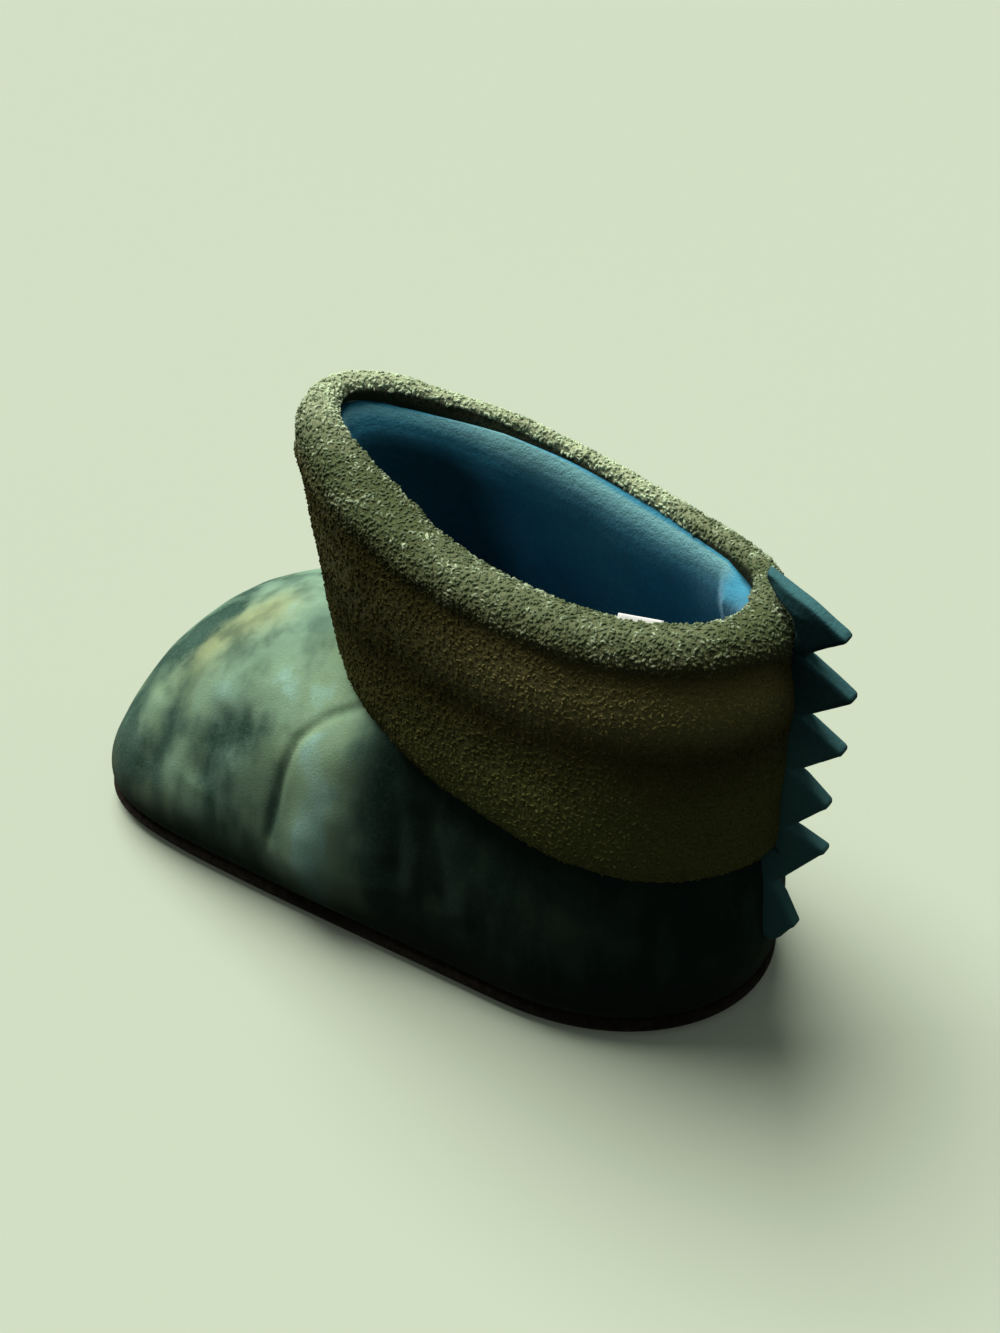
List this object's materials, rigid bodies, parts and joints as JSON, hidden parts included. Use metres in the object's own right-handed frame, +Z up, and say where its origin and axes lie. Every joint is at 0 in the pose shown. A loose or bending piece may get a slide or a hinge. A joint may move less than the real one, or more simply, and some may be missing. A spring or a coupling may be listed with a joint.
{
  "type": "slipper boot",
  "caption": "Soft slipper boot for a small child: velour foot on a thin flat sole, padded terry cuff round the shaft, and a ridge of cloth spikes down the back seam.",
  "frame": {"origin": "on the floor under the middle of the boot's box", "axes": "+X towards the toe, +Y to the wearer's left, +Z up from the floor"},
  "size_m": [0.1836, 0.0774, 0.1151],
  "materials": {
    "outsole": "matt, soft non-slip sole with a rounded side",
    "insole": "matt fleece",
    "upper": "short-pile velour with a pale sheen",
    "cuff": "looped terry, matt",
    "spike_ridge": "matt fleece"
  },
  "bodies": {
    "root": {"outsole": "outsole", "insole": "insole", "upper": "upper", "cuff": "cuff", "spike_ridge": "spike_ridge"}
  },
  "joints": []
}
